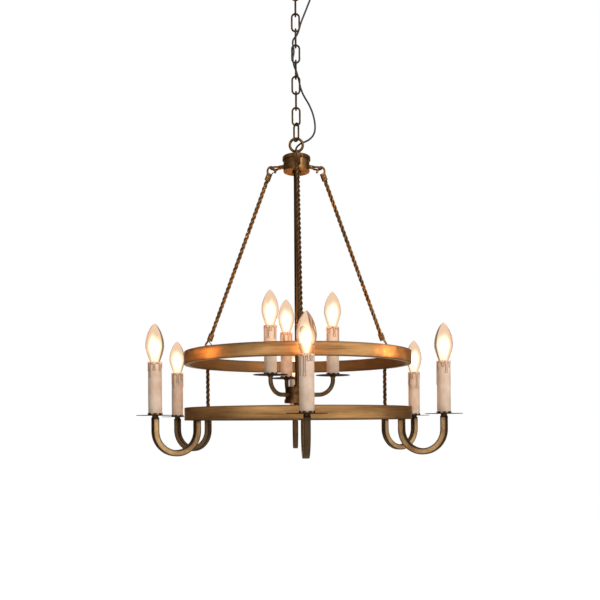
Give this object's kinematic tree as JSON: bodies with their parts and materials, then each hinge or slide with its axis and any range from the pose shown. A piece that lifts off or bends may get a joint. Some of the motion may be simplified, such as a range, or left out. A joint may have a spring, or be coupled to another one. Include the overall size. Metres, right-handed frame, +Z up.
{
  "type": "wagon wheel chandelier",
  "caption": "Hanging chandelier with a wheel of two brass rings on twisted rods, an inner cluster on a stem, candle lamps with drip sleeves, and a chain with its cord.",
  "frame": {"origin": "middle of the two ceiling screws, on the ceiling plane", "axes": "+Z up, towards the ceiling; -Y towards the front rod and the front arm"},
  "size_m": [0.6138, 0.6979, 1.0363],
  "materials": {
    "zinc_steel": "zinc plated sheet",
    "dark_bronze": "mottled dark antique bronze, satin",
    "antique_brass": "aged brass, brushed, dark in the corners",
    "black_flex": "smooth black jacket",
    "white_plastic": "plain moulded",
    "drip_ivory": "ivory candle sleeve with brown antiqued drips",
    "clear_glass": "clear",
    "nickel_cap": "bright plated"
  },
  "bodies": {
    "ceiling": {"ceiling_bracket": "zinc_steel", "canopy": "dark_bronze", "canopy_loop": "dark_bronze", "cord_grip": "black_flex", "power_cord": "black_flex"},
    "link_1": {"chain_link_1": "dark_bronze"},
    "link_2": {"chain_link_2": "dark_bronze"},
    "link_3": {"chain_link_3": "dark_bronze"},
    "link_4": {"chain_link_4": "dark_bronze"},
    "link_5": {"chain_link_5": "dark_bronze"},
    "link_6": {"chain_link_6": "dark_bronze"},
    "link_7": {"chain_link_7": "dark_bronze"},
    "link_8": {"chain_link_8": "dark_bronze"},
    "link_9": {"chain_link_9": "dark_bronze"},
    "link_10": {"chain_link_10": "dark_bronze"},
    "ring": {"hub_ring": "antique_brass"},
    "hub": {"hub_eye": "dark_bronze", "hub_lid": "dark_bronze", "hub_shell": "dark_bronze", "hub_side_loops": "antique_brass", "hub_connector": "white_plastic", "stem": "antique_brass", "cluster_body": "dark_bronze", "cluster_base": "dark_bronze", "inner_arms": "antique_brass", "inner_pans": "dark_bronze", "inner_cups": "dark_bronze", "inner_sockets": "white_plastic", "inner_sleeves": "drip_ivory"},
    "wheel": {"upper_ring": "antique_brass", "lower_ring": "antique_brass", "ring_posts": "antique_brass", "eye_bolts": "dark_bronze", "outer_arms": "antique_brass", "outer_pans": "dark_bronze", "outer_cups": "dark_bronze", "outer_sockets": "white_plastic", "outer_sleeves": "drip_ivory"},
    "rod_front": {"rod_front": "antique_brass"},
    "rod_right": {"rod_right": "antique_brass"},
    "rod_left": {"rod_left": "antique_brass", "feed_wire": "black_flex"},
    "bulb_1": {"bulb_glass_1": "clear_glass", "bulb_cap_1": "nickel_cap"},
    "bulb_2": {"bulb_glass_2": "clear_glass", "bulb_cap_2": "nickel_cap"},
    "bulb_3": {"bulb_glass_3": "clear_glass", "bulb_cap_3": "nickel_cap"},
    "bulb_4": {"bulb_glass_4": "clear_glass", "bulb_cap_4": "nickel_cap"},
    "bulb_5": {"bulb_glass_5": "clear_glass", "bulb_cap_5": "nickel_cap"},
    "bulb_6": {"bulb_glass_6": "clear_glass", "bulb_cap_6": "nickel_cap"},
    "bulb_7": {"bulb_glass_7": "clear_glass", "bulb_cap_7": "nickel_cap"},
    "bulb_8": {"bulb_glass_8": "clear_glass", "bulb_cap_8": "nickel_cap"},
    "bulb_9": {"bulb_glass_9": "clear_glass", "bulb_cap_9": "nickel_cap"}
  },
  "joints": [
    {"name": "link_1_swing", "type": "hinge", "parent": "ceiling", "child": "link_1", "pos_m": [0, 0, -0.0587], "axis": [0, 1, 0], "range_deg": [-8, 8]},
    {"name": "link_2_swing", "type": "hinge", "parent": "link_1", "child": "link_2", "pos_m": [0, 0, -0.0908], "axis": [1, 0, 0], "range_deg": [-8, 8]},
    {"name": "link_3_swing", "type": "hinge", "parent": "link_2", "child": "link_3", "pos_m": [0, 0, -0.1235], "axis": [0, 1, 0], "range_deg": [-8, 8]},
    {"name": "link_4_swing", "type": "hinge", "parent": "link_3", "child": "link_4", "pos_m": [0, 0, -0.1562], "axis": [1, 0, 0], "range_deg": [-8, 8]},
    {"name": "link_5_swing", "type": "hinge", "parent": "link_4", "child": "link_5", "pos_m": [0, 0, -0.1889], "axis": [0, 1, 0], "range_deg": [-8, 8]},
    {"name": "link_6_swing", "type": "hinge", "parent": "link_5", "child": "link_6", "pos_m": [0, 0, -0.2216], "axis": [1, 0, 0], "range_deg": [-8, 8], "deforming": ["power_cord"]},
    {"name": "link_7_swing", "type": "hinge", "parent": "link_6", "child": "link_7", "pos_m": [0, 0, -0.2543], "axis": [0, 1, 0], "range_deg": [-8, 8]},
    {"name": "link_8_swing", "type": "hinge", "parent": "link_7", "child": "link_8", "pos_m": [0, 0, -0.287], "axis": [1, 0, 0], "range_deg": [-8, 8]},
    {"name": "link_9_swing", "type": "hinge", "parent": "link_8", "child": "link_9", "pos_m": [0, 0, -0.3197], "axis": [0, 1, 0], "range_deg": [-8, 8]},
    {"name": "link_10_swing", "type": "hinge", "parent": "link_9", "child": "link_10", "pos_m": [0, 0, -0.3524], "axis": [1, 0, 0], "range_deg": [-8, 8]},
    {"name": "ring_swing", "type": "hinge", "parent": "link_10", "child": "ring", "pos_m": [0, 0, -0.3851], "axis": [-0.5736, 0.8192, 0], "range_deg": [-8, 8]},
    {"name": "hub_swing", "type": "hinge", "parent": "ring", "child": "hub", "pos_m": [0, 0, -0.4072], "axis": [1, 0, 0], "range_deg": [-8, 8]},
    {"name": "wheel_sway", "type": "hinge", "parent": "hub", "child": "wheel", "pos_m": [0, 0, -0.30009], "axis": [1, 0, 0], "range_deg": [-3, 3]},
    {"name": "rod_front_swing", "type": "hinge", "parent": "hub", "child": "rod_front", "pos_m": [0, -0.061, -0.4335], "axis": [1, 0, 0], "range_deg": [-4.5, 4.5]},
    {"name": "rod_right_swing", "type": "hinge", "parent": "hub", "child": "rod_right", "pos_m": [0.05283, 0.0305, -0.4335], "axis": [1, 0, 0], "range_deg": [-4.5, 4.5]},
    {"name": "rod_left_swing", "type": "hinge", "parent": "hub", "child": "rod_left", "pos_m": [-0.05283, 0.0305, -0.4335], "axis": [1, 0, 0], "range_deg": [-4.5, 4.5]},
    {"name": "bulb_1_turn", "type": "hinge", "parent": "wheel", "child": "bulb_1", "pos_m": [0.00658, -0.31393, -0.85896], "axis": [0, 0, 1], "range_deg": [0, 1800]},
    {"name": "bulb_2_turn", "type": "hinge", "parent": "wheel", "child": "bulb_2", "pos_m": [0.27193, -0.157, -0.85896], "axis": [0, 0, 1], "range_deg": [0, 1800]},
    {"name": "bulb_3_turn", "type": "hinge", "parent": "wheel", "child": "bulb_3", "pos_m": [0.27193, 0.157, -0.85896], "axis": [0, 0, 1], "range_deg": [0, 1800]},
    {"name": "bulb_4_turn", "type": "hinge", "parent": "wheel", "child": "bulb_4", "pos_m": [0, 0.314, -0.85896], "axis": [0, 0, 1], "range_deg": [0, 1800]},
    {"name": "bulb_5_turn", "type": "hinge", "parent": "wheel", "child": "bulb_5", "pos_m": [-0.27193, 0.157, -0.85896], "axis": [0, 0, 1], "range_deg": [0, 1800]},
    {"name": "bulb_6_turn", "type": "hinge", "parent": "wheel", "child": "bulb_6", "pos_m": [-0.27193, -0.157, -0.85896], "axis": [0, 0, 1], "range_deg": [0, 1800]},
    {"name": "bulb_7_turn", "type": "hinge", "parent": "hub", "child": "bulb_7", "pos_m": [-0.0227, 0.07201, -0.7771], "axis": [0, 0, 1], "range_deg": [0, 1800]},
    {"name": "bulb_8_turn", "type": "hinge", "parent": "hub", "child": "bulb_8", "pos_m": [-0.05663, -0.04993, -0.7771], "axis": [0, 0, 1], "range_deg": [0, 1800]},
    {"name": "bulb_9_turn", "type": "hinge", "parent": "hub", "child": "bulb_9", "pos_m": [0.07156, -0.02408, -0.7771], "axis": [0, 0, 1], "range_deg": [0, 1800]}
  ],
  "couplings": [
    {"joint": "rod_front_swing", "follows": "wheel_sway", "ratio": 1.3631},
    {"joint": "rod_right_swing", "follows": "wheel_sway", "ratio": 1.3631},
    {"joint": "rod_left_swing", "follows": "wheel_sway", "ratio": 1.3631}
  ]
}
